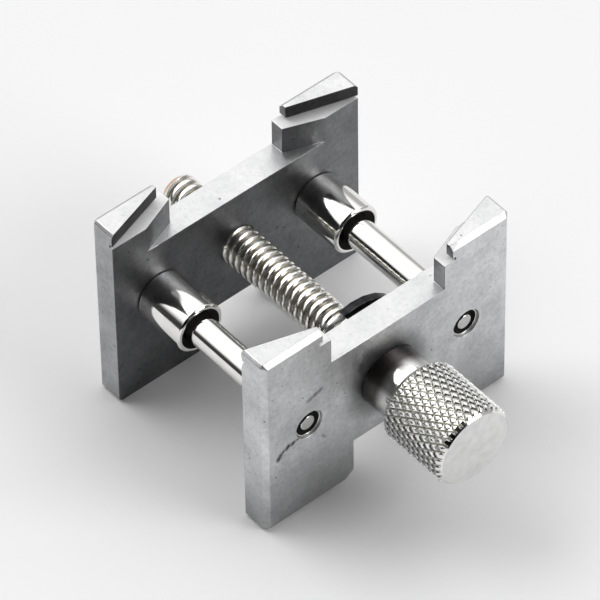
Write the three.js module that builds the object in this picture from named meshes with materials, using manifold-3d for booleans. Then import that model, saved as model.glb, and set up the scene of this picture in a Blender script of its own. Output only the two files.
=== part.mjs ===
// Watch movement holder, the smaller size of a pair: two cast jaws, one fixed and one carried
// along two guide rods by a lead screw with a knurled thumb knob.
// Millimetres, +Z up. The screw runs along X with the knob at +X, the jaws run along Y,
// and the jaws stand on their feet at Z = 0.

import * as THREE from 'three';
import { mergeVertices } from 'three/addons/utils/BufferGeometryUtils.js';
import Module from 'manifold-3d';

const wasm = await Module();
wasm.setup();

// Jaws
const JAW_LENGTH = 24;
const JAW_HEIGHT = 18.4;
const JAW_THICKNESS = 2.5;
const JAW_GAP = 14.9;
const FACE_CHAMFER = 0.4;
const CORNER_CHAMFER = 0.26;

// Steps cut in the top of each jaw, as heights and as half widths at the outer and inner face
const BRIDGE_TOP = 14.5;
const BRIDGE_HALF_OUTER = 5.5;
const BRIDGE_HALF_INNER = 8.75;
const BRIDGE_BEND_DEPTH = 1.25;
const LEDGE_TOP = 17.0;
const LEDGE_HALF_OUTER = 6.3;
const LEDGE_HALF_INNER = 11.9;
const LEDGE_BEND_DEPTH = 0.75;
const UNDERCUT_HEIGHT = 0.3;
const UNDERCUT_DEPTH = 0.3;
const LEDGE_RELIEF = 0.05;

// Notch between the feet
const FOOT_NOTCH_HALF = 3.1;
const FOOT_NOTCH_TOP = 3.8;
const FOOT_CHAMFER_WIDTH = 1.0;
const FOOT_CHAMFER_HEIGHT = 0.75;

// Guide rods and sleeves
const AXIS_HEIGHT = JAW_HEIGHT / 2;
const ROD_OFFSET = 7.7;
const ROD_RADIUS = 1.25;
const ROD_TAIL = 2.5;
const ROD_RECESS = 0.2;
const ROD_END_CHAMFER = 0.3;
const SLEEVE_RADIUS = 2.15;
const SLEEVE_LENGTH = 4.8;
const SLEEVE_END_CHAMFER = 0.2;
const SPIGOT_RADIUS = 1.75;

// Lead screw: plain at its major radius, because a thread this fine is finished as surface detail
const SCREW_RADIUS = 1.65;
const SCREW_TAIL = 5.0;
const SCREW_END_CHAMFER = 0.4;
const JOURNAL_RADIUS = 2.4;
const CONE_LENGTH = 1.0;
const SHOULDER_LENGTH = 0.35;
const KNOB_STEM_RADIUS = 1.5;
const KNOB_STEM_LENGTH = 5.0;

// Thumb knob
const KNOB_REACH = 9.7;
const NECK_RADIUS = 2.65;
const NECK_LENGTH = 3.0;
const KNOB_RADIUS = 3.5;
const KNOB_REAR_CHAMFER = 0.55;
const KNOB_END_CHAMFER = 0.35;

// Retaining clip
const CLIP_RADIUS = 4.5;
const CLIP_RECESS_RADIUS = 3.1;
const CLIP_BORE_RADIUS = 1.97;
const CLIP_THICKNESS = 0.7;
const CLIP_TO_JAW = 1.0;
const CLIP_OPENING_HALF = 1.9;
const CLIP_OPENING_ANGLE = THREE.MathUtils.degToRad(132);

// Fits
const GROOVE_RADIUS = 1.95;
const GROOVE_SIDE_GAP = 0.05;
const RUNNING_FIT = 0.04;
const SEATED_FIT = 0.03;
const FACE_GAP = 0.05;

const ROUND_SEGMENTS = 48;
const CUTTER_MARGIN = 1;

// Stations along X. The overall length, screw tail to knob end, is centred on X = 0.
const OVERALL_LENGTH = SCREW_TAIL + 2 * JAW_THICKNESS + JAW_GAP + KNOB_REACH;
const SCREW_TAIL_X = -OVERALL_LENGTH / 2;
const REAR_OUTER_X = SCREW_TAIL_X + SCREW_TAIL;
const REAR_INNER_X = REAR_OUTER_X + JAW_THICKNESS;
const FRONT_INNER_X = REAR_INNER_X + JAW_GAP;
const FRONT_OUTER_X = FRONT_INNER_X + JAW_THICKNESS;
const KNOB_END_X = FRONT_OUTER_X + KNOB_REACH;
const CLIP_FRONT_X = FRONT_INNER_X - CLIP_TO_JAW;
const CLIP_REAR_X = CLIP_FRONT_X - CLIP_THICKNESS;

const aluminium = () => new THREE.MeshStandardMaterial({ color: 0xc4c6c8, roughness: 0.55, metalness: 0.9 });
const nickel = () => new THREE.MeshStandardMaterial({ color: 0xd8d9da, roughness: 0.12, metalness: 1 });
const platedBrass = () => new THREE.MeshStandardMaterial({ color: 0xc2b48c, roughness: 0.25, metalness: 1 });
const blackSteel = () => new THREE.MeshStandardMaterial({ color: 0x141414, roughness: 0.45, metalness: 0.8 });

// ---- Solids and booleans ----

function withoutSlivers(geometry) {
  const index = geometry.index.array;
  const kept = [];
  for (let i = 0; i < index.length; i += 3) {
    const [a, b, c] = [index[i], index[i + 1], index[i + 2]];
    if (a !== b && b !== c && c !== a) kept.push(a, b, c);
  }
  geometry.setIndex(kept);
  return geometry;
}

function welded(geometry) {
  const plain = new THREE.BufferGeometry();
  plain.setAttribute('position', geometry.getAttribute('position').clone());
  if (geometry.index) plain.setIndex(geometry.index.clone());
  return withoutSlivers(mergeVertices(plain, 1e-5));
}

function toSolid(geometry) {
  const merged = welded(geometry);
  return new wasm.Manifold(new wasm.Mesh({
    numProp: 3,
    vertProperties: Float32Array.from(merged.getAttribute('position').array),
    triVerts: Uint32Array.from(merged.index.array),
  }));
}

function toGeometry(solid) {
  const mesh = solid.getMesh();
  const geometry = new THREE.BufferGeometry();
  geometry.setAttribute('position', new THREE.BufferAttribute(Float32Array.from(mesh.vertProperties), 3));
  geometry.setIndex(new THREE.BufferAttribute(Uint32Array.from(mesh.triVerts), 1));
  geometry.computeVertexNormals();
  return geometry;
}

function cutAll(geometry, cutters) {
  let solid = toSolid(geometry);
  for (const cutter of cutters) solid = solid.subtract(toSolid(cutter));
  return toGeometry(solid);
}

function shapeFrom(points) {
  return new THREE.Shape(points.map(([a, b]) => new THREE.Vector2(a, b)));
}

// A shape drawn in (Y, Z) and extruded along +X from x.
function extrudeAlongX(shape, x, depth, options = {}) {
  const geometry = new THREE.ExtrudeGeometry(shape, { depth, bevelEnabled: false, ...options });
  const turn = new THREE.Matrix4().makeBasis(
    new THREE.Vector3(0, 1, 0),
    new THREE.Vector3(0, 0, 1),
    new THREE.Vector3(1, 0, 0),
  );
  return geometry.applyMatrix4(turn).translate(x, 0, 0);
}

// A plan shape drawn in (X, Y) and extruded along +Z from z.
function extrudeUp(shape, z, height) {
  return new THREE.ExtrudeGeometry(shape, { depth: height, bevelEnabled: false }).translate(0, 0, z);
}

// A profile of [x, radius] points turned about the X axis, then moved to y and the axis height.
function turned(profile, y = 0) {
  const points = profile.map(([x, radius]) => new THREE.Vector2(radius, x));
  const lathed = new THREE.LatheGeometry(points, ROUND_SEGMENTS);
  return lathed.rotateZ(-Math.PI / 2).translate(0, y, AXIS_HEIGHT);
}

function roundCutter(radius, xFrom, xTo, y = 0) {
  return turned([[xFrom, 0], [xFrom, radius], [xTo, radius], [xTo, 0]], y);
}

// ---- Jaws ----

// Front elevation of a jaw in (Y, Z), before the top steps are cut.
function jawOutline() {
  const half = JAW_LENGTH / 2;
  const right = [
    [FOOT_NOTCH_HALF, FOOT_NOTCH_TOP],
    [FOOT_NOTCH_HALF, FOOT_CHAMFER_HEIGHT],
    [FOOT_NOTCH_HALF + FOOT_CHAMFER_WIDTH, 0],
    [half - CORNER_CHAMFER, 0],
    [half, CORNER_CHAMFER],
    [half, JAW_HEIGHT - CORNER_CHAMFER],
    [half - CORNER_CHAMFER, JAW_HEIGHT],
  ];
  const left = right.map(([y, z]) => [-y, z]).reverse();
  return shapeFrom([...right, ...left]);
}

// A slab from the outer to the inner face, chamfered round its outer face only.
// inward is +1 where the inner face looks towards +X, and -1 where it looks towards -X.
function jawSlab(outerX, inward) {
  const overrun = JAW_THICKNESS + FACE_CHAMFER + CUTTER_MARGIN;
  const depth = overrun - 2 * FACE_CHAMFER;
  const start = inward > 0 ? outerX + FACE_CHAMFER : outerX - overrun + FACE_CHAMFER;
  const slab = extrudeAlongX(jawOutline(), start, depth, {
    bevelEnabled: true,
    bevelThickness: FACE_CHAMFER,
    bevelSize: FACE_CHAMFER,
    bevelOffset: -FACE_CHAMFER,
    bevelSegments: 1,
  });
  const trim = new THREE.BoxGeometry(overrun, JAW_LENGTH * 2, JAW_HEIGHT * 2);
  trim.translate(outerX + inward * (JAW_THICKNESS + overrun / 2), 0, AXIS_HEIGHT);
  return cutAll(slab, [trim]);
}

// One side of a step in plan, as [depth from the outer face, half width]: straight as far as the
// bend, then splayed out to the inner face. It runs past both faces so that it cuts clean through.
function stepSide(halfOuter, halfInner, bendDepth) {
  const splay = (halfInner - halfOuter) / (JAW_THICKNESS - bendDepth);
  return [
    [-CUTTER_MARGIN, halfOuter],
    [bendDepth, halfOuter],
    [JAW_THICKNESS + CUTTER_MARGIN, halfInner + splay * CUTTER_MARGIN],
  ];
}

// The ledge's side moved outwards by a distance, square to its edges.
function ledgeSide(offset = 0) {
  const splay = (LEDGE_HALF_INNER - LEDGE_HALF_OUTER) / (JAW_THICKNESS - LEDGE_BEND_DEPTH);
  const splayShift = offset * Math.hypot(1, splay);
  const bendDepth = LEDGE_BEND_DEPTH - (splayShift - offset) / splay;
  return stepSide(LEDGE_HALF_OUTER + offset, LEDGE_HALF_INNER + splayShift, bendDepth);
}

// Side points placed on the jaw, on the +Y or the -Y side.
function placed(points, outerX, inward, side) {
  return points.map(([depth, y]) => [outerX + inward * depth, side * y]);
}

function stepPlan(side, outerX, inward) {
  return shapeFrom([...placed(side, outerX, inward, 1), ...placed(side, outerX, inward, -1).reverse()]);
}

// The groove under a lip, and a hair's breadth down and out into the ledge, so that the ledge
// itself stays flat right up to the groove.
function undercut(outerX, inward, side) {
  const band = [...ledgeSide(-LEDGE_RELIEF), ...ledgeSide(UNDERCUT_DEPTH).reverse()];
  const plan = shapeFrom(placed(band, outerX, inward, side));
  return extrudeUp(plan, LEDGE_TOP - LEDGE_RELIEF, UNDERCUT_HEIGHT + LEDGE_RELIEF);
}

function topSteps(outerX, inward) {
  const bridgeSide = stepSide(BRIDGE_HALF_OUTER, BRIDGE_HALF_INNER, BRIDGE_BEND_DEPTH);
  const above = JAW_HEIGHT + CUTTER_MARGIN;
  return [
    extrudeUp(stepPlan(bridgeSide, outerX, inward), BRIDGE_TOP, above - BRIDGE_TOP),
    extrudeUp(stepPlan(ledgeSide(), outerX, inward), LEDGE_TOP, above - LEDGE_TOP),
    undercut(outerX, inward, 1),
    undercut(outerX, inward, -1),
  ];
}

function frontJaw() {
  const from = FRONT_INNER_X - CUTTER_MARGIN;
  const to = FRONT_OUTER_X + CUTTER_MARGIN;
  return cutAll(jawSlab(FRONT_OUTER_X, -1), [
    ...topSteps(FRONT_OUTER_X, -1),
    roundCutter(JOURNAL_RADIUS + RUNNING_FIT, from, to),
    roundCutter(ROD_RADIUS + SEATED_FIT, from, to, -ROD_OFFSET),
    roundCutter(ROD_RADIUS + SEATED_FIT, from, to, ROD_OFFSET),
  ]);
}

function rearJaw() {
  const from = REAR_OUTER_X - CUTTER_MARGIN;
  const to = REAR_INNER_X + CUTTER_MARGIN;
  return cutAll(jawSlab(REAR_OUTER_X, 1), [
    ...topSteps(REAR_OUTER_X, 1),
    roundCutter(SCREW_RADIUS + RUNNING_FIT, from, to),
    roundCutter(SPIGOT_RADIUS + SEATED_FIT, from, to, -ROD_OFFSET),
    roundCutter(SPIGOT_RADIUS + SEATED_FIT, from, to, ROD_OFFSET),
  ]);
}

// ---- Guides ----

function guideRod(y) {
  const from = REAR_OUTER_X - ROD_TAIL;
  const to = FRONT_OUTER_X - ROD_RECESS;
  return turned([
    [from, 0],
    [from, ROD_RADIUS - ROD_END_CHAMFER],
    [from + ROD_END_CHAMFER, ROD_RADIUS],
    [to - ROD_END_CHAMFER, ROD_RADIUS],
    [to, ROD_RADIUS - ROD_END_CHAMFER],
    [to, 0],
  ], y);
}

// A collar against the rear jaw's inner face, on a spigot that is pressed through the jaw.
function guideSleeve(y) {
  const bore = ROD_RADIUS + RUNNING_FIT;
  const collarStart = REAR_INNER_X + FACE_GAP;
  const end = REAR_INNER_X + SLEEVE_LENGTH;
  return turned([
    [REAR_OUTER_X + FACE_GAP, bore],
    [REAR_OUTER_X + FACE_GAP, SPIGOT_RADIUS],
    [collarStart, SPIGOT_RADIUS],
    [collarStart, SLEEVE_RADIUS],
    [end - SLEEVE_END_CHAMFER, SLEEVE_RADIUS],
    [end, SLEEVE_RADIUS - SLEEVE_END_CHAMFER],
    [end, bore],
    [REAR_OUTER_X + FACE_GAP, bore],
  ], y);
}

// ---- Screw, knob and clip ----

function leadScrew() {
  const shoulderX = CLIP_REAR_X - GROOVE_SIDE_GAP - SHOULDER_LENGTH;
  const stemX = FRONT_OUTER_X + FACE_GAP;
  const stemEndX = stemX + KNOB_STEM_LENGTH;
  return turned([
    [SCREW_TAIL_X, 0],
    [SCREW_TAIL_X, SCREW_RADIUS - SCREW_END_CHAMFER],
    [SCREW_TAIL_X + SCREW_END_CHAMFER, SCREW_RADIUS],
    [shoulderX - CONE_LENGTH, SCREW_RADIUS],
    [shoulderX, JOURNAL_RADIUS],
    [CLIP_REAR_X - GROOVE_SIDE_GAP, JOURNAL_RADIUS],
    [CLIP_REAR_X - GROOVE_SIDE_GAP, GROOVE_RADIUS],
    [CLIP_FRONT_X + GROOVE_SIDE_GAP, GROOVE_RADIUS],
    [CLIP_FRONT_X + GROOVE_SIDE_GAP, JOURNAL_RADIUS],
    [stemX, JOURNAL_RADIUS],
    [stemX, KNOB_STEM_RADIUS],
    [stemEndX, KNOB_STEM_RADIUS],
    [stemEndX, 0],
  ]);
}

function thumbKnob() {
  const neckX = FRONT_OUTER_X + 2 * FACE_GAP;
  const headX = FRONT_OUTER_X + NECK_LENGTH;
  const bore = KNOB_STEM_RADIUS + SEATED_FIT;
  const boreEndX = FRONT_OUTER_X + KNOB_STEM_LENGTH + CUTTER_MARGIN;
  return turned([
    [boreEndX, 0],
    [boreEndX, bore],
    [neckX, bore],
    [neckX, NECK_RADIUS],
    [headX, NECK_RADIUS],
    [headX + KNOB_REAR_CHAMFER, KNOB_RADIUS],
    [KNOB_END_X - KNOB_END_CHAMFER, KNOB_RADIUS],
    [KNOB_END_X, KNOB_RADIUS - KNOB_END_CHAMFER],
    [KNOB_END_X, 0],
  ]);
}

// An E-shaped clip with three prongs in the groove and two recesses between them, drawn with its
// opening down and then turned to the opening angle.
function retainingClip() {
  const openingHalfAngle = Math.asin(CLIP_OPENING_HALF / CLIP_RADIUS);
  const prongHalf = THREE.MathUtils.degToRad(18);
  const sideProngStart = THREE.MathUtils.degToRad(-42);
  const sideProngEnd = THREE.MathUtils.degToRad(-10);
  const top = Math.PI / 2;
  const down = -Math.PI / 2;
  const clip = new THREE.Shape();
  clip.absarc(0, 0, CLIP_RADIUS, down + openingHalfAngle, down - openingHalfAngle + 2 * Math.PI, false);
  clip.absarc(0, 0, CLIP_BORE_RADIUS, Math.PI - sideProngStart, Math.PI - sideProngEnd, true);
  clip.absarc(0, 0, CLIP_RECESS_RADIUS, Math.PI - sideProngEnd, top + prongHalf, true);
  clip.absarc(0, 0, CLIP_BORE_RADIUS, top + prongHalf, top - prongHalf, true);
  clip.absarc(0, 0, CLIP_RECESS_RADIUS, top - prongHalf, sideProngEnd, true);
  clip.absarc(0, 0, CLIP_BORE_RADIUS, sideProngEnd, sideProngStart, true);
  const plate = extrudeAlongX(clip, CLIP_REAR_X, CLIP_THICKNESS, { curveSegments: 10 });
  return plate.rotateX(CLIP_OPENING_ANGLE - down).translate(0, 0, AXIS_HEIGHT);
}

// ---- Assembly ----

function part(name, geometry, material) {
  const mesh = new THREE.Mesh(welded(geometry), material);
  mesh.name = name;
  return mesh;
}

const holder = new THREE.Group();

const fixedFrame = new THREE.Group();
fixedFrame.add(
  part('front_jaw', frontJaw(), aluminium()),
  part('guide_rod_left', guideRod(-ROD_OFFSET), nickel()),
  part('guide_rod_right', guideRod(ROD_OFFSET), nickel()),
);

const movingJaw = new THREE.Group();
movingJaw.add(
  part('rear_jaw', rearJaw(), aluminium()),
  part('guide_sleeve_left', guideSleeve(-ROD_OFFSET), nickel()),
  part('guide_sleeve_right', guideSleeve(ROD_OFFSET), nickel()),
);

const screwAssembly = new THREE.Group();
screwAssembly.add(
  part('lead_screw', leadScrew(), platedBrass()),
  part('thumb_knob', thumbKnob(), nickel()),
  part('retaining_clip', retainingClip(), blackSteel()),
);

holder.add(fixedFrame, movingJaw, screwAssembly);

export default holder;
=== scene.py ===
"""Watch movement holder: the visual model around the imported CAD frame."""

import math

import bmesh
import bpy
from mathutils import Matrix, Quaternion, Vector


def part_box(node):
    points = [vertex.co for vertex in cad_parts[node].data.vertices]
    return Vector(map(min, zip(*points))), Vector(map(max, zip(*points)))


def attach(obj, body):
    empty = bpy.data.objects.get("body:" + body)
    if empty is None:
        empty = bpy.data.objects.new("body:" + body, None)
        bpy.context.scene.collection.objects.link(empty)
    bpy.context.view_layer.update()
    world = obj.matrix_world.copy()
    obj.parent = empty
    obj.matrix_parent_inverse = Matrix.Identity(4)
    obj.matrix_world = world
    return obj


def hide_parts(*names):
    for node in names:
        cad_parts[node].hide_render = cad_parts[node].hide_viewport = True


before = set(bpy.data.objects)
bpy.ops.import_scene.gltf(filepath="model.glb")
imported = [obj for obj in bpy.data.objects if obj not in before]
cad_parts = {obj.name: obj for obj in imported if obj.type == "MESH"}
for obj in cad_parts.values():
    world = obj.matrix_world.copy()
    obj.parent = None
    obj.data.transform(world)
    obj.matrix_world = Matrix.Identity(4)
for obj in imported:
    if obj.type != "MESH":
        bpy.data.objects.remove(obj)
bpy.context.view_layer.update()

MM = 0.001

# ---- Places read from the frame ----

_, front_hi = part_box("front_jaw")
_, rear_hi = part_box("rear_jaw")
rod_lo, rod_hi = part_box("guide_rod_right")
sleeve_lo, sleeve_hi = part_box("guide_sleeve_right")
screw_lo, screw_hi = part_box("lead_screw")
knob_lo, knob_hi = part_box("thumb_knob")
clip_lo, clip_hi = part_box("retaining_clip")

AXIS_Z = (knob_lo.z + knob_hi.z) / 2
ROD_Y = (rod_lo.y + rod_hi.y) / 2
ROD_R = (rod_hi.y - rod_lo.y) / 2
SLEEVE_R = (sleeve_hi.y - sleeve_lo.y) / 2
KNOB_R = (knob_hi.y - knob_lo.y) / 2

# ---- Camera ----

CAMERA_AZIMUTH = math.radians(50.46)
CAMERA_ELEVATION = math.radians(47.64)
CAMERA_ROLL = math.radians(-0.98)
CAMERA_DISTANCE = 0.474
CAMERA_TARGET = Vector((-2.59, 0, 8.88)) * MM
CAMERA_LENS = 378


def toward(azimuth, elevation):
    """Unit vector from the object: azimuth 0 is towards -Y, and 90 degrees towards +X."""
    flat = math.cos(elevation)
    return Vector((math.sin(azimuth) * flat, -math.cos(azimuth) * flat, math.sin(elevation)))


def add_camera():
    back = toward(CAMERA_AZIMUTH, CAMERA_ELEVATION)
    data = bpy.data.cameras.new("camera")
    data.lens = CAMERA_LENS
    data.clip_start = 0.01
    data.clip_end = 10
    camera = bpy.data.objects.new("camera", data)
    bpy.context.scene.collection.objects.link(camera)
    camera.rotation_mode = "QUATERNION"
    camera.location = CAMERA_TARGET + back * CAMERA_DISTANCE
    turn = (-back).to_track_quat("-Z", "Y")
    camera.rotation_quaternion = turn @ Quaternion((0, 0, 1), CAMERA_ROLL)
    bpy.context.scene.camera = camera


add_camera()
bpy.context.scene.view_settings.view_transform = "Standard"

# ---- Node materials ----


class Nodes:
    """Short calls that add nodes to a node tree."""

    def __init__(self, tree):
        self.tree = tree

    def plug(self, socket, value):
        if isinstance(value, bpy.types.NodeSocket):
            self.tree.links.new(value, socket)
        elif socket.type == "RGBA" and len(value) == 3:
            socket.default_value = (*value, 1.0)
        else:
            socket.default_value = value

    def node(self, kind, sockets=None, **settings):
        made = self.tree.nodes.new(kind)
        for key, value in settings.items():
            setattr(made, key, value)
        for key, value in (sockets or {}).items():
            self.plug(made.inputs[key], value)
        return made

    def math(self, operation, a, b=0.0, clamp=False):
        made = self.node("ShaderNodeMath", {0: a, 1: b}, operation=operation, use_clamp=clamp)
        return made.outputs[0]

    def dot(self, vector, direction):
        made = self.node("ShaderNodeVectorMath", {0: vector, 1: direction}, operation="DOT_PRODUCT")
        return made.outputs["Value"]

    def ramp(self, value, low, high, to_low=0.0, to_high=1.0, smooth=False):
        made = self.node("ShaderNodeMapRange", {
            "Value": value, "From Min": low, "From Max": high,
            "To Min": to_low, "To Max": to_high,
        }, interpolation_type="SMOOTHSTEP" if smooth else "LINEAR")
        return made.outputs["Result"]

    def mix(self, factor, a, b):
        made = self.node("ShaderNodeMix", data_type="RGBA")
        colours = [socket for socket in made.inputs if socket.type == "RGBA"]
        for socket, value in ((made.inputs[0], factor), (colours[0], a), (colours[1], b)):
            self.plug(socket, value)
        return [socket for socket in made.outputs if socket.type == "RGBA"][0]


class Shader(Nodes):
    """A Principled material, with textures in the object's own coordinates."""

    def __init__(self, name, **sockets):
        self.material = bpy.data.materials.new(name)
        self.material.use_nodes = True
        super().__init__(self.material.node_tree)
        self.bsdf = self.tree.nodes["Principled BSDF"]
        self.where = self.node("ShaderNodeTexCoord").outputs["Object"]
        self.set(**sockets)

    def set(self, **sockets):
        for key, value in sockets.items():
            self.plug(self.bsdf.inputs[key.replace("_", " ")], value)
        return self.material

    def stretched(self, scale):
        return self.node("ShaderNodeMapping", {"Vector": self.where, "Scale": scale}).outputs[0]

    def noise(self, size, detail=3.0, roughness=0.55, vector=None):
        made = self.node("ShaderNodeTexNoise", {
            "Vector": vector or self.where, "Scale": 1.0 / size,
            "Detail": detail, "Roughness": roughness,
        })
        return made.outputs["Fac"]

    def bump(self, height, depth):
        sockets = {"Height": height, "Distance": depth, "Strength": 1.0}
        return self.node("ShaderNodeBump", sockets).outputs[0]

    def xyz(self):
        return self.node("ShaderNodeSeparateXYZ", {"Vector": self.where}).outputs

    def radius(self):
        """Distance from the screw's axis."""
        x, y, z = self.xyz()
        up = self.math("SUBTRACT", z, AXIS_Z)
        square = self.math("ADD", self.math("MULTIPLY", y, y), self.math("MULTIPLY", up, up))
        return self.math("SQRT", square)

    def near_line(self, start, end, width):
        """1 on a line across a jaw's face, given by (y, z), and 0 from about width away, ragged."""
        flat = self.node("ShaderNodeVectorMath", {0: self.where, 1: (0, 1, 1)}, operation="MULTIPLY")
        along = Vector((0, end[0] - start[0], end[1] - start[1]))
        offset = self.node(
            "ShaderNodeVectorMath", {0: flat.outputs[0], 1: (0, *start)}, operation="SUBTRACT",
        ).outputs[0]
        share = self.math("DIVIDE", self.dot(offset, along), along.length_squared, clamp=True)
        foot = self.node("ShaderNodeVectorMath", {0: tuple(along), "Scale": share}, operation="SCALE")
        gap = self.node(
            "ShaderNodeVectorMath", {0: offset, 1: foot.outputs[0]}, operation="DISTANCE",
        ).outputs["Value"]
        wobble = self.math("MULTIPLY", self.noise(0.3 * MM, 2.0), 0.9 * width)
        return self.ramp(self.math("ADD", gap, wobble), 0.6 * width, 1.4 * width, 1.0, 0.0)


# A jaw with painted shade is darkened round the screw, where the knob's shadow and dark reflection
# fall, fading between these radii, and on its feet up to a height, where it reflects the shadowed
# floor.
SHADE_RING_INNER = 2.5 * MM
SHADE_RING_OUTER = 4.8 * MM
SHADE_TOP = 8.0 * MM


# The share of painted shade at a point: round the screw, and darker towards the feet.
def painted_shade(s):
    ring = s.ramp(s.radius(), SHADE_RING_INNER, SHADE_RING_OUTER, 0.8, 0.0, smooth=True)
    foot = s.ramp(s.xyz()[2], 0.0, SHADE_TOP, 0.5, 0.0, smooth=True)
    return s.math("MAXIMUM", ring, foot)


def darkened(colour, factor):
    return tuple(factor * c for c in colour)


def aluminium(name, dark, light, smooth, rough, grain_depth, marks=(), with_painted_shade=False, metallic=1.0):
    """smooth and rough are roughnesses. A mark is (start, end, width, strength), as in near_line."""
    s = Shader(name, Metallic=metallic)
    blotch = s.math("ADD", s.noise(3.0 * MM, 4.0), s.math("MULTIPLY", s.noise(0.4 * MM, 2.0), 0.5))
    speckle = s.noise(0.25 * MM, 2.0, 0.7)
    grain = s.noise(0.13 * MM, 3.0, 0.6)
    cells = s.node("ShaderNodeTexVoronoi", {"Vector": s.where, "Scale": 1.0 / (0.8 * MM)})
    chosen = s.math("GREATER_THAN", s.noise(0.9 * MM, 1.0), 0.6)
    pit = s.math("MULTIPLY", s.ramp(cells.outputs["Distance"], 0.07, 0.16, 1.0, 0.0), chosen)
    tone = s.ramp(blotch, 0.5, 1.0)
    colour = s.mix(tone, dark, light)
    spots = s.ramp(speckle, 0.28, 0.42, 0.55, 0.0)
    colour = s.mix(spots, colour, darkened(dark, 0.72))
    colour = s.mix(pit, colour, darkened(dark, 0.35))
    # Painted shade round the screw, and darker towards the feet.
    if with_painted_shade:
        colour = s.mix(painted_shade(s), colour, darkened(dark, 0.22))
    relief = s.math("SUBTRACT", grain, s.math("MULTIPLY", pit, 1.5))
    for start, end, width, strength in marks:
        mark = s.math("MULTIPLY", s.near_line(start, end, width), strength)
        colour = s.mix(mark, colour, darkened(dark, 0.12))
        relief = s.math("SUBTRACT", relief, s.math("MULTIPLY", mark, 3.0))
    return s.set(
        Base_Color=colour,
        Roughness=s.ramp(s.noise(0.6 * MM, 3.0), 0.3, 0.7, smooth, rough),
        Normal=s.bump(relief, grain_depth),
    )


BRIGHT_NICKEL = (0.86, 0.85, 0.83)
DULL_NICKEL = (0.78, 0.77, 0.74)
# The colour of the painted shade and dark reflection on the knob's neck.
NECK_SHADE = (0.10, 0.09, 0.085)
TURNING_DEPTH = 0.0012 * MM


def polished(name, shade_span=None):
    """Nickel with faint turning marks. The last argument is the (x, x) between which the painted shade
    on it, a dark reflection, fades out.
    """
    s = Shader(name, Metallic=1.0)
    smudge = s.noise(1.6 * MM, 4.0)
    lines = s.noise(1.0, 2.0, 0.6, s.stretched((1 / (0.05 * MM), 30.0, 30.0)))
    scratch = s.noise(1.0, 2.0, 0.6, s.stretched((60.0, 1 / (0.06 * MM), 1 / (0.06 * MM))))
    relief = s.math("ADD", lines, s.math("MULTIPLY", scratch, 0.5))
    metal = s.mix(s.ramp(smudge, 0.35, 0.7), BRIGHT_NICKEL, DULL_NICKEL)
    # Painted shade and dark reflection over the neck's base, fading out along X.
    if shade_span:
        edge = s.math("ADD", s.xyz()[0], s.math("MULTIPLY", s.noise(1.2 * MM, 2.0), 0.5 * MM))
        metal = s.mix(s.ramp(edge, *shade_span, 1.0, 0.0, smooth=True), metal, NECK_SHADE)
    return s.set(
        Base_Color=metal,
        Roughness=s.ramp(smudge, 0.3, 0.75, 0.05, 0.12),
        Normal=s.bump(relief, TURNING_DEPTH),
    )


def satin_end(name, light, dark):
    """A faced end, with fine rings about the screw's axis."""
    s = Shader(name, Metallic=1.0)
    radius = s.radius()
    rings = s.node("ShaderNodeTexNoise", {
        "W": s.math("MULTIPLY", radius, 1 / (0.05 * MM)), "Scale": 1.0, "Detail": 2.0,
    }, noise_dimensions="1D").outputs["Fac"]
    wear = s.noise(0.7 * MM, 4.0)
    return s.set(
        Base_Color=s.mix(s.ramp(wear, 0.35, 0.7), light, dark),
        Roughness=s.ramp(wear, 0.3, 0.7, 0.28, 0.42),
        Normal=s.bump(s.math("ADD", rings, s.math("MULTIPLY", wear, 0.3)), 0.004 * MM),
    )


def threaded_brass(name, crest_r, root_r, tail_x):
    """Silvery crests over golden brass roots darkened with painted shade, and bare brass up to tail_x.
    """
    s = Shader(name, Metallic=1.0)
    radius = s.radius()
    x = s.xyz()[0]
    wobble = s.math("MULTIPLY", s.math("SUBTRACT", s.noise(0.5 * MM, 3.0), 0.5), 0.35 * MM)
    height = s.ramp(s.math("ADD", radius, wobble), root_r, crest_r - 0.05 * MM)
    # The roots are golden brass, darkened as painted shade.
    shaded_root = s.mix(s.noise(0.8 * MM, 3.0), (0.26, 0.21, 0.12), (0.42, 0.36, 0.22))
    colour = s.mix(height, shaded_root, (0.95, 0.94, 0.90))
    tail = s.ramp(x, tail_x, tail_x + 0.25 * MM, 1.0, 0.0)
    colour = s.mix(tail, colour, (0.66, 0.33, 0.10))
    return s.set(
        Base_Color=colour,
        Roughness=s.ramp(height, 0.0, 1.0, 0.42, 0.18),
        Normal=s.bump(s.noise(0.08 * MM, 2.0), 0.004 * MM),
    )


def knurled(name, crest_r, depth):
    """Bright points over grooves darkened with painted shade."""
    s = Shader(name, Metallic=1.0)
    radius = s.radius()
    wobble = s.math("MULTIPLY", s.math("SUBTRACT", s.noise(0.4 * MM, 3.0), 0.5), 0.12 * MM)
    height = s.ramp(s.math("ADD", radius, wobble), crest_r - depth, crest_r - 0.35 * depth)
    # The grooves are darkened as painted shade.
    shaded_groove = s.mix(s.noise(1.2 * MM, 3.0), (0.42, 0.41, 0.37), (0.60, 0.58, 0.52))
    return s.set(
        Base_Color=s.mix(height, shaded_groove, (0.92, 0.92, 0.90)),
        Roughness=s.ramp(height, 0.0, 1.0, 0.40, 0.16),
        Normal=s.bump(s.noise(0.09 * MM, 2.0), 0.004 * MM),
    )


def black_oxide(name, light):
    """Black with patches of light."""
    s = Shader(name, Metallic=1.0)
    patch = s.noise(0.8 * MM, 4.0)
    grain = s.noise(0.07 * MM, 2.0)
    return s.set(
        Base_Color=s.mix(s.ramp(patch, 0.4, 0.7), (0.018, 0.018, 0.02), light),
        Roughness=s.ramp(patch, 0.3, 0.7, 0.3, 0.48),
        Normal=s.bump(grain, 0.004 * MM),
    )


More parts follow.
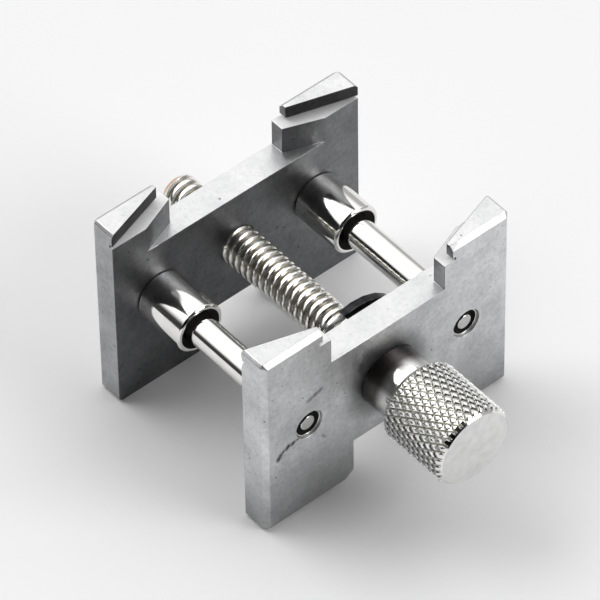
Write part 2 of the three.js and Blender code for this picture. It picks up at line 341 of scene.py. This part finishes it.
# Near black and dull: grime, and painted shade in the hollows it is put in.
def grime_and_shade(name):
    s = Shader(name, Roughness=0.75, Specular_IOR_Level=0.15)
    return s.set(
        Base_Color=s.mix(s.noise(0.3 * MM, 3.0), (0.006, 0.006, 0.006), (0.022, 0.021, 0.02)),
        Normal=s.bump(s.noise(0.1 * MM, 2.0), 0.01 * MM),
    )


# Small pits and scratches in the front jaw's outer face, in millimetres from the left rod's centre:
# (y, z) of one end, (y, z) of the other, width, and the strength from 0 to 1.
MARKS_BY_LEFT_ROD = (
    (-3.0, -1.7, -2.8, -1.4, 0.34, 1.0),
    (-2.55, -1.2, -2.5, -1.15, 0.2, 0.8),
    (-2.2, -1.1, -2.05, -0.9, 0.32, 1.0),
    (-1.7, -1.0, -1.55, -0.9, 0.27, 1.0),
    (-1.2, -0.8, -1.1, -0.75, 0.2, 0.8),
    (-0.1, 2.65, 0.5, 2.85, 0.3, 0.55),
    (0.7, 2.95, 1.2, 3.05, 0.3, 0.6),
    (1.2, -2.1, 1.5, -2.5, 0.2, 0.4),
)
FRONT_MARKS = [
    ((y0 * MM - ROD_Y, z0 * MM + AXIS_Z), (y1 * MM - ROD_Y, z1 * MM + AXIS_Z), width * MM, strength)
    for y0, z0, y1, z1, width, strength in MARKS_BY_LEFT_ROD
]
# The painted shade on the knob's neck, a dark reflection of the jaw and its shadow, fades out between
# these places along X.
NECK_SHADE_SPAN = (front_hi.x + 1.5 * MM, front_hi.x + 2.7 * MM)

# The rear jaw's casting is painted darker than the front jaw's: painted shade on the same metal.
SHADED_CAST = aluminium("cast_aluminium", (0.32, 0.325, 0.33), (0.50, 0.505, 0.51), 0.38, 0.52, 0.016 * MM)
# The front jaw's casting: real pits and scratches, and painted shade round the screw and towards the
# feet.
MARKED_CAST_WITH_SHADE = aluminium("marked_cast_aluminium_with_painted_shade", (0.50, 0.505, 0.51), (0.76, 0.77, 0.78), 0.38, 0.52,
                        0.016 * MM, FRONT_MARKS, with_painted_shade=True)
# Inward faces and the notch's sides are painted darker than the outer faces: painted shade from the
# gap between the jaws.
SHADED_INNER = aluminium("shaded_inner_aluminium", (0.13, 0.134, 0.14), (0.22, 0.225, 0.23), 0.36, 0.48,
                  0.012 * MM)
LIP = aluminium("shaded_lip", (0.035, 0.035, 0.035), (0.08, 0.08, 0.08), 0.38, 0.50, 0.006 * MM)
GRIME_AND_SHADE = grime_and_shade("grime_and_painted_shade_in_the_gap")
CAST_EDGE = aluminium("worn_aluminium_edge", (0.62, 0.62, 0.63), (0.76, 0.76, 0.76), 0.32, 0.44,
                      0.006 * MM)
MILLED = aluminium("milled_aluminium", (0.64, 0.645, 0.65), (0.80, 0.80, 0.80), 0.28, 0.42, 0.010 * MM)
# The ledges are painted near white and made hardly metallic, so that they show as bright strips:
# painted light.
BRIGHT_LEDGE = aluminium("ledge_painted_bright", (0.90, 0.90, 0.90), (0.98, 0.98, 0.98), 0.40, 0.55, 0.006 * MM,
                  metallic=0.1)
NICKEL = polished("polished_nickel")
NECK = polished("nickel_with_painted_shade", NECK_SHADE_SPAN)
ROD_END = satin_end("rod_end", (0.62, 0.62, 0.61), (0.48, 0.48, 0.47))
KNOB_END = satin_end("turned_nickel_end", (0.80, 0.80, 0.79), (0.70, 0.70, 0.69))

# ---- Mesh helpers ----


def add_piece(name, bm, body, node, materials, paint=None, smooth_angle=None):
    """Turns a bmesh into a piece that stands for a CAD node and rides on its body."""
    mesh = bpy.data.meshes.new(name)
    bmesh.ops.recalc_face_normals(bm, faces=bm.faces)
    for face in bm.faces:
        face.smooth = True
        if paint is not None:
            face.material_index = paint(face)
    if smooth_angle is not None:
        for edge in bm.edges:
            if edge.is_manifold and edge.calc_face_angle() > smooth_angle:
                edge.smooth = False
    bm.to_mesh(mesh)
    bm.free()
    for material in materials:
        mesh.materials.append(material)
    piece = bpy.data.objects.new(name, mesh)
    bpy.context.scene.collection.objects.link(piece)
    weighted = piece.modifiers.new("even_normals", "WEIGHTED_NORMAL")
    weighted.keep_sharp = True
    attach(piece, body)
    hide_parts(node)
    return piece


def rounded(points, steps=4):
    """Profile points (x, r) or (x, r, softness): a softness rounds that corner."""
    flat = [Vector(p[:2]) for p in points]
    out = []
    count = len(points)
    for i, point in enumerate(points):
        corner = flat[i]
        if len(point) < 3:
            out.append(corner)
            continue
        before = flat[(i - 1) % count] - corner
        after = flat[(i + 1) % count] - corner
        reach = min(point[2], 0.45 * before.length, 0.45 * after.length)
        a = corner + before.normalized() * reach
        b = corner + after.normalized() * reach
        for k in range(steps + 1):
            t = k / steps
            out.append(a * (1 - t) ** 2 + corner * 2 * t * (1 - t) + b * t * t)
    return out


def turn_about_x(bm, points, y, segments, closed=False):
    """Turns profile points (x, r) about the line through (y, AXIS_Z) along X."""
    rings = []
    for x, r in points:
        if r < 1e-9:
            rings.append([bm.verts.new((x, y, AXIS_Z))] * segments)
            continue
        rings.append([
            bm.verts.new((
                x,
                y + r * math.cos(2 * math.pi * k / segments),
                AXIS_Z + r * math.sin(2 * math.pi * k / segments),
            ))
            for k in range(segments)
        ])
    pairs = list(zip(rings, rings[1:]))
    if closed:
        pairs.append((rings[-1], rings[0]))
    for a, b in pairs:
        for k in range(segments):
            n = (k + 1) % segments
            corners = []
            for v in (a[k], a[n], b[n], b[k]):
                if v not in corners:
                    corners.append(v)
            if len(corners) > 2:
                bm.faces.new(corners)
    return rings


# A softened mesh's material slots.
FLAT_SLOT = 0
EDGE_SLOT = 1

EDGE_SEGMENTS = 3
WELD = 0.002 * MM
LEDGE_TOP = 17.0 * MM
# The CAD's groove under each lip goes a little below the ledge. softened levels it.
GROOVE_FLOOR = 16.95 * MM


def softened(node, width, cuts=()):
    """A copy of a CAD node's mesh with its coplanar triangles joined and its edges rounded.

    The faces stay parted along the planes of constant y in cuts, so that none has a hole in it.
    """
    bm = bmesh.new()
    bm.from_mesh(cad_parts[node].data)
    bmesh.ops.remove_doubles(bm, verts=bm.verts, dist=WELD)
    for vert in bm.verts:
        if abs(vert.co.z - GROOVE_FLOOR) < 0.005 * MM:
            vert.co.z = LEDGE_TOP
    bmesh.ops.remove_doubles(bm, verts=bm.verts, dist=WELD)
    bmesh.ops.dissolve_degenerate(bm, edges=bm.edges, dist=WELD)
    for y in cuts:
        cut = bmesh.ops.bisect_plane(
            bm, geom=bm.verts[:] + bm.edges[:] + bm.faces[:], dist=0.001 * MM,
            plane_co=(0, y, 0), plane_no=(0, 1, 0),
        )
        for item in cut["geom_cut"]:
            if isinstance(item, bmesh.types.BMEdge):
                item.seam = True
    bmesh.ops.dissolve_limit(
        bm, angle_limit=math.radians(1), verts=bm.verts, edges=bm.edges, delimit={"SEAM"},
    )
    for face in bm.faces:
        face.material_index = FLAT_SLOT
    sharp = [e for e in bm.edges if e.calc_face_angle(0) > math.radians(25)]
    bmesh.ops.bevel(
        bm, geom=sharp, offset=width, offset_type="OFFSET", segments=EDGE_SEGMENTS, profile=0.5,
        affect="EDGES", clamp_overlap=False, material=EDGE_SLOT,
    )
    return bm


# ---- Jaws ----

JAW_EDGE = 0.045 * MM
BRIDGE_TOP = 14.5 * MM
# Level faces between these heights are ledges.
LEDGES_FROM = 16.0 * MM
LEDGES_TO = 17.5 * MM
LIPS_FROM = 17.02 * MM

# The rest of a jaw's material slots.
MILLED_SLOT = 2
SHADED_INNER_SLOT = 3
BRIGHT_LEDGE_SLOT = 4
LIP_SLOT = 5


def jaw_painter(inward):
    """inward is +1 where the jaw's inner face looks towards +X, and -1 towards -X."""
    def paint(face):
        middle = face.calc_center_median()
        height = middle.z
        facing_in = face.normal.x * inward
        if facing_in > 0.2 and height > LIPS_FROM:
            return LIP_SLOT
        in_notch = height > BRIDGE_TOP and abs(middle.y) < 0.9 * front_hi.y
        notch_side = in_notch and abs(face.normal.z) < 0.5 and abs(face.normal.y) > 0.5
        # Inward faces and the notch's sides take the darker aluminium with painted shade.
        if facing_in > 0.6 or notch_side:
            return SHADED_INNER_SLOT
        if face.material_index == EDGE_SLOT:
            return EDGE_SLOT if abs(face.normal.z) > 0.3 else FLAT_SLOT
        # Level tops are milled; the ledges under the lips take the near white ledge material, which is
        # painted light.
        if face.normal.z > 0.9 and height > BRIDGE_TOP - 0.2 * MM:
            return BRIGHT_LEDGE_SLOT if LEDGES_FROM < height < LEDGES_TO else MILLED_SLOT
        return FLAT_SLOT
    return paint


for side, body, inward, cast in (
    ("front", "fixed_frame", -1, MARKED_CAST_WITH_SHADE), ("rear", "moving_jaw", 1, SHADED_CAST),
):
    add_piece(
        side + "_jaw_casting", softened(side + "_jaw", JAW_EDGE, (-ROD_Y, 0, ROD_Y)),
        body, side + "_jaw",
        [cast, CAST_EDGE, MILLED, SHADED_INNER, BRIGHT_LEDGE, LIP], jaw_painter(inward),
    )

# ---- Guides ----

GUIDE_SEGMENTS = 96
# A hollow in a guide's end that is painted near black, as grime and painted shade, lies within this
# distance of the end.
END_REACH = 0.5 * MM
ROD_TAIL_CHAMFER = 0.3 * MM
# The groove in a rod's front end, by its radii at the mouth and on the floor.
ROD_GROOVE_DEPTH = 0.35 * MM
ROD_GROOVE_MOUTH = (0.62 * MM, 1.1 * MM)
ROD_GROOVE_FLOOR = (0.78 * MM, 1.0 * MM)
# The groove is painted near black, as grime and painted shade, between these radii.
ROD_GROOVE_DARK = (0.64 * MM, 1.08 * MM)

RUNNING_FIT = 0.04 * MM
FACE_GAP = 0.05 * MM
SPIGOT_R = 1.75 * MM
SLEEVE_CHAMFER = 0.15 * MM
# The countersink in a sleeve's end, painted near black as grime and painted shade, by its depth and
# its rim's distance inside the sleeve.
SINK_DEPTH = 0.45 * MM
SINK_RIM = 0.32 * MM


def guide_rod(name, y, node):
    bm = bmesh.new()
    tail, end, floor = rod_lo.x, rod_hi.x, rod_hi.x - ROD_GROOVE_DEPTH
    turn_about_x(bm, rounded([
        (tail, 0), (tail, ROD_R - ROD_TAIL_CHAMFER, 0.05 * MM),
        (tail + ROD_TAIL_CHAMFER, ROD_R, 0.08 * MM),
        (end, ROD_R, 0.06 * MM), (end, ROD_GROOVE_MOUTH[1], 0.03 * MM),
        (floor, ROD_GROOVE_FLOOR[1]), (floor, ROD_GROOVE_FLOOR[0]),
        (end, ROD_GROOVE_MOUTH[0], 0.05 * MM), (end, 0),
    ]), y, GUIDE_SEGMENTS)

    def paint(face):
        middle = face.calc_center_median()
        radius = math.hypot(middle.y - y, middle.z - AXIS_Z)
        # The groove in the front end is painted near black: grime and painted shade.
        if middle.x > end - END_REACH and ROD_GROOVE_DARK[0] < radius < ROD_GROOVE_DARK[1]:
            return 2
        return 1 if abs(face.normal.x) > 0.9 else 0

    add_piece(name, bm, "fixed_frame", node, [NICKEL, ROD_END, GRIME_AND_SHADE], paint)


def guide_sleeve(name, y, node):
    bm = bmesh.new()
    bore = ROD_R + RUNNING_FIT
    collar = rear_hi.x + FACE_GAP
    tail, end = sleeve_lo.x, sleeve_hi.x
    turn_about_x(bm, rounded([
        (tail, bore), (tail, SPIGOT_R), (collar, SPIGOT_R), (collar, SLEEVE_R, 0.08 * MM),
        (end - SLEEVE_CHAMFER, SLEEVE_R, 0.05 * MM), (end, SLEEVE_R - SLEEVE_CHAMFER, 0.05 * MM),
        (end, SLEEVE_R - SINK_RIM, 0.04 * MM), (end - SINK_DEPTH, bore, 0.03 * MM),
    ]), y, GUIDE_SEGMENTS, closed=True)

    def paint(face):
        middle = face.calc_center_median()
        radius = math.hypot(middle.y - y, middle.z - AXIS_Z)
        in_sink = radius < SLEEVE_R - SINK_RIM - 0.01 * MM
        # The countersink is painted near black: grime and painted shade.
        return 1 if middle.x > end - END_REACH and in_sink else 0

    add_piece(name, bm, "moving_jaw", node, [NICKEL, GRIME_AND_SHADE], paint)


for side, sign in (("left", -1), ("right", 1)):
    guide_rod("polished_rod_" + side, sign * ROD_Y, "guide_rod_" + side)
    guide_sleeve("polished_sleeve_" + side, sign * ROD_Y, "guide_sleeve_" + side)

# ---- Lead screw ----

THREAD_PITCH = 0.7 * MM
THREAD_DEPTH = 0.28 * MM
THREAD_R = 1.65 * MM
THREAD_TAIL_R = 1.25 * MM
THREAD_STEPS = 96
# One pitch of the thread: (share of the pitch, share of the depth).
THREAD_FORM = (
    (0.02, 0.0), (0.46, 0.0), (0.50, 0.06), (0.68, 0.94),
    (0.71, 1.0), (0.77, 1.0), (0.80, 0.94), (0.98, 0.06),
)
THREAD_ROWS = len(THREAD_FORM)
THREAD_RUN_OUT = 1.2 * THREAD_PITCH

JOURNAL_R = 2.4 * MM
CLIP_GROOVE_R = 1.95 * MM
KNOB_STEM_R = 1.5 * MM
TAIL_FACE_R = 1.0 * MM
GROOVE_SIDE_GAP = 0.05 * MM
SHOULDER_LENGTH = 0.35 * MM
CONE_LENGTH = 1.0 * MM
BARE_BRASS_LENGTH = 0.2 * MM
THREAD_WELD = 0.0005 * MM

THREAD_START_X = screw_lo.x
THREAD_END_X = clip_lo.x - GROOVE_SIDE_GAP - SHOULDER_LENGTH - CONE_LENGTH


def thread_point(k, m):
    """The point at step k round the screw and row m along it."""
    share, drop = THREAD_FORM[m % THREAD_ROWS]
    x = THREAD_START_X + THREAD_PITCH * (m // THREAD_ROWS + share - 2 + k / THREAD_STEPS)
    if x <= THREAD_START_X:
        x, r = THREAD_START_X, THREAD_TAIL_R
    elif x >= THREAD_END_X:
        x, r = THREAD_END_X, THREAD_R
    else:
        fade = min(1.0, (THREAD_END_X - x) / THREAD_RUN_OUT)
        r = THREAD_R - THREAD_DEPTH * drop * fade
        r = min(r, THREAD_TAIL_R + (x - THREAD_START_X))
    a = 2 * math.pi * k / THREAD_STEPS
    return x, r * math.cos(a), AXIS_Z + r * math.sin(a)


def add_thread(bm):
    """Rows that climb one pitch in a turn, so the last step joins the first one pitch further on."""
    turns = math.ceil((THREAD_END_X - THREAD_START_X) / THREAD_PITCH) + 2
    row_count = (turns + 1) * THREAD_ROWS
    grid = [[bm.verts.new(thread_point(k, m)) for m in range(row_count)] for k in range(THREAD_STEPS)]
    for k in range(THREAD_STEPS):
        for m in range(turns * THREAD_ROWS):
            if k + 1 < THREAD_STEPS:
                c, d = grid[k + 1][m + 1], grid[k + 1][m]
            else:
                if m + THREAD_ROWS + 1 >= row_count:
                    continue
                c, d = grid[0][m + THREAD_ROWS + 1], grid[0][m + THREAD_ROWS]
            bm.faces.new((grid[k][m], grid[k][m + 1], c, d))


def add_shank(bm):
    """The plain end past the thread: cone, shoulder, clip groove, journal and the knob's stem."""
    shoulder = THREAD_END_X + CONE_LENGTH
    groove_start, groove_end = clip_lo.x - GROOVE_SIDE_GAP, clip_hi.x + GROOVE_SIDE_GAP
    stem_x = front_hi.x + FACE_GAP
    turn_about_x(bm, rounded([
        (THREAD_END_X, THREAD_R), (shoulder, JOURNAL_R, 0.08 * MM),
        (groove_start, JOURNAL_R, 0.05 * MM), (groove_start, CLIP_GROOVE_R),
        (groove_end, CLIP_GROOVE_R), (groove_end, JOURNAL_R, 0.05 * MM),
        (stem_x, JOURNAL_R), (stem_x, KNOB_STEM_R), (screw_hi.x, KNOB_STEM_R), (screw_hi.x, 0),
    ]), 0, THREAD_STEPS)


def lead_screw():
    bm = bmesh.new()
    add_thread(bm)
    tail_face = [(THREAD_START_X, 0), (THREAD_START_X, TAIL_FACE_R), (THREAD_START_X, THREAD_TAIL_R)]
    turn_about_x(bm, tail_face, 0, THREAD_STEPS)
    add_shank(bm)
    bmesh.ops.remove_doubles(bm, verts=bm.verts, dist=THREAD_WELD)
    bmesh.ops.dissolve_degenerate(bm, edges=bm.edges, dist=THREAD_WELD)
    brass_end = THREAD_START_X + BARE_BRASS_LENGTH
    add_piece("threaded_screw", bm, "screw", "lead_screw",
              [threaded_brass("plated_brass", THREAD_R, THREAD_R - THREAD_DEPTH, brass_end)],
              smooth_angle=math.radians(40))


lead_screw()

# ---- Thumb knob ----

NECK_R = 2.65 * MM
NECK_END_X = front_hi.x + 3.0 * MM
KNOB_REAR = 0.55 * MM
KNOB_TIP = 0.35 * MM
KNOB_BORE_R = 1.53 * MM
KNOB_BORE_END_X = front_hi.x + 6.0 * MM
KNURL_STARTS = 34
KNURL_HELIX = math.radians(30)
KNURL_DEPTH = 0.22 * MM
# Height over one groove spacing, in steps from the bottom of a groove.
KNURL_FORM = (0.0, 0.3, 0.65, 0.92, 1.0, 1.0, 1.0, 1.0, 1.0, 0.92, 0.65, 0.3)
KNURL_STEPS = len(KNURL_FORM)
KNOB_SEGMENTS = KNURL_STARTS * KNURL_STEPS
KNURL_START_X = NECK_END_X + 0.3 * KNOB_REAR
KNURL_END_X = knob_hi.x


def blank_radius(x):
    """The knob's head before knurling."""
    rear = KNOB_R - KNOB_REAR + x - NECK_END_X
    tip = KNOB_R - KNOB_TIP + knob_hi.x - x
    return min(KNOB_R, rear, tip)


def knurl_height(i, j):
    """From 0 in a groove to 1 on a point, at step i round the knob and row j along it."""
    return min(KNURL_FORM[(i + j) % KNURL_STEPS], KNURL_FORM[(i - j) % KNURL_STEPS])


def join_rings(bm, a, b):
    for k in range(len(a)):
        n = (k + 1) % len(a)
        bm.faces.new((a[k], a[n], b[n], b[k]))


def knurl_ring(bm, x, j):
    ring = []
    for i in range(KNOB_SEGMENTS):
        t = 2 * math.pi * i / KNOB_SEGMENTS
        r = min(KNOB_R - KNURL_DEPTH * (1 - knurl_height(i, j)), blank_radius(x))
        ring.append(bm.verts.new((x, r * math.cos(t), AXIS_Z + r * math.sin(t))))
    return ring


def add_knurl(bm):
    """Adds the knurled barrel and returns its first and last ring."""
    start, end = KNURL_START_X, KNURL_END_X
    spacing = 2 * math.pi * KNOB_R / KNURL_STARTS
    rows = round((end - start) / (spacing / math.tan(KNURL_HELIX) / KNURL_STEPS))
    grid = [knurl_ring(bm, start + (end - start) * j / rows, j) for j in range(rows + 1)]
    for j in range(rows):
        for i in range(KNOB_SEGMENTS):
            n = (i + 1) % KNOB_SEGMENTS
            p, q, r, s = grid[j][i], grid[j][n], grid[j + 1][n], grid[j + 1][i]
            # One family of grooves runs from q to s, and the other from p to r.
            if KNURL_FORM[(i + j + 1) % KNURL_STEPS] in (0.0, 1.0):
                bm.faces.new((p, q, s))
                bm.faces.new((q, r, s))
            else:
                bm.faces.new((p, q, r))
                bm.faces.new((p, r, s))
    return grid[0], grid[-1]


def thumb_knob():
    bm = bmesh.new()
    first_ring, last_ring = add_knurl(bm)
    head_x = KNURL_START_X - 0.02 * MM
    neck = turn_about_x(bm, rounded([
        (KNOB_BORE_END_X, 0), (KNOB_BORE_END_X, KNOB_BORE_R), (knob_lo.x, KNOB_BORE_R),
        (knob_lo.x, NECK_R, 0.12 * MM), (NECK_END_X, NECK_R),
        (NECK_END_X, KNOB_R - KNOB_REAR, 0.04 * MM), (head_x, blank_radius(head_x)),
    ]), 0, KNOB_SEGMENTS)
    join_rings(bm, neck[-1], first_ring)
    tip_profile = [(KNURL_END_X, blank_radius(KNURL_END_X) - 0.04 * MM), (KNURL_END_X, 0)]
    tip = turn_about_x(bm, tip_profile, 0, KNOB_SEGMENTS)
    join_rings(bm, last_ring, tip[0])

    def paint(face):
        x = face.calc_center_median().x
        if x > knob_hi.x - 0.01 * MM:
            return 2
        if x > knob_hi.x - KNOB_TIP and face.normal.x > 0.5:
            return 3
        return 1 if x > KNURL_START_X else 0

    add_piece("knurled_knob", bm, "screw", "thumb_knob",
              [NECK, knurled("knurled_nickel", KNOB_R, KNURL_DEPTH), KNOB_END, NICKEL], paint,
              smooth_angle=math.radians(22))


thumb_knob()

# ---- Retaining clip ----

CLIP_EDGE = 0.07 * MM

add_piece("black_clip", softened("retaining_clip", CLIP_EDGE), "screw", "retaining_clip",
          [black_oxide("black_oxide", (0.045, 0.045, 0.05)),
           black_oxide("worn_black_oxide", (0.16, 0.16, 0.16))])

# ---- Floor and light ----

FLOOR_RADIUS = 1.5
FLOOR_DROP = 0.01 * MM

# Strengths of the world's light: from overhead, and from low down on the near and the far side.
SKY = 1.27
LOW_NEAR = 0.05
LOW_FAR = 0.5
# The world's light falls to the share DARK_LEVEL in a patch round one fixed direction, and the patch
# fades out between these cosines of the angle from that direction.
DARK_EDGE = 0.56
DARK_CORE = 0.81
DARK_LEVEL = 0.03

# A softbox's place, diameter and power.
KEY = ((-0.45, -0.2, 0.6), 0.5, 1.5)
FILL = ((0.52, 0.30, 0.36), 0.4, 1.6)


def add_floor():
    bm = bmesh.new()
    bmesh.ops.create_circle(bm, cap_ends=True, segments=128, radius=FLOOR_RADIUS)
    mesh = bpy.data.meshes.new("floor")
    bm.to_mesh(mesh)
    bm.free()
    floor = bpy.data.objects.new("floor", mesh)
    floor.location.z = -FLOOR_DROP
    bpy.context.scene.collection.objects.link(floor)
    s = Shader("pale_floor", Roughness=0.7, Specular_IOR_Level=0.25)
    tone = s.noise(0.03, 3.0)
    mesh.materials.append(s.set(Base_Color=s.mix(tone, (0.93, 0.93, 0.94), (0.96, 0.96, 0.96))))


def add_softbox(name, position, size, power):
    """A round area light that faces the origin."""
    data = bpy.data.lights.new(name, "AREA")
    data.shape = "DISK"
    data.size = size
    data.energy = power
    lamp = bpy.data.objects.new(name, data)
    bpy.context.scene.collection.objects.link(lamp)
    lamp.location = position
    lamp.rotation_mode = "QUATERNION"
    lamp.rotation_quaternion = (-Vector(position)).to_track_quat("-Z", "Y")


def add_world():
    """A pale tent, bright above and dim low down, with a dark patch where the rest camera stands."""
    world = bpy.data.worlds.new("studio")
    bpy.context.scene.world = world
    world.use_nodes = True
    n = Nodes(world.node_tree)
    where = n.node("ShaderNodeTexCoord").outputs["Generated"]
    sky = n.ramp(n.dot(where, (0, 0, 1)), 0.3, 0.58, smooth=True)
    far = n.ramp(n.dot(where, (-0.35, 0.94, 0)), -0.1, 0.5, LOW_NEAR, LOW_FAR, smooth=True)
    low = n.math("MULTIPLY", far, n.math("SUBTRACT", 1.0, sky))
    level = n.math("ADD", low, n.math("MULTIPLY", sky, SKY))
    patch = n.dot(where, toward(CAMERA_AZIMUTH, CAMERA_ELEVATION))
    dim = n.ramp(patch, DARK_EDGE, DARK_CORE, 1.0, DARK_LEVEL, smooth=True)
    strength = n.math("MULTIPLY", level, dim)
    light = n.node("ShaderNodeBackground", {"Color": (1, 1, 1), "Strength": strength})
    pale = n.node("ShaderNodeBackground", {"Color": (0.86, 0.86, 0.86), "Strength": 1.0})
    seen = n.node("ShaderNodeLightPath").outputs["Is Camera Ray"]
    pick = n.node("ShaderNodeMixShader", {0: seen, 1: light.outputs[0], 2: pale.outputs[0]})
    n.plug(n.tree.nodes["World Output"].inputs["Surface"], pick.outputs[0])


add_floor()
add_world()
add_softbox("key", *KEY)
add_softbox("fill", *FILL)

bpy.context.view_layer.update()
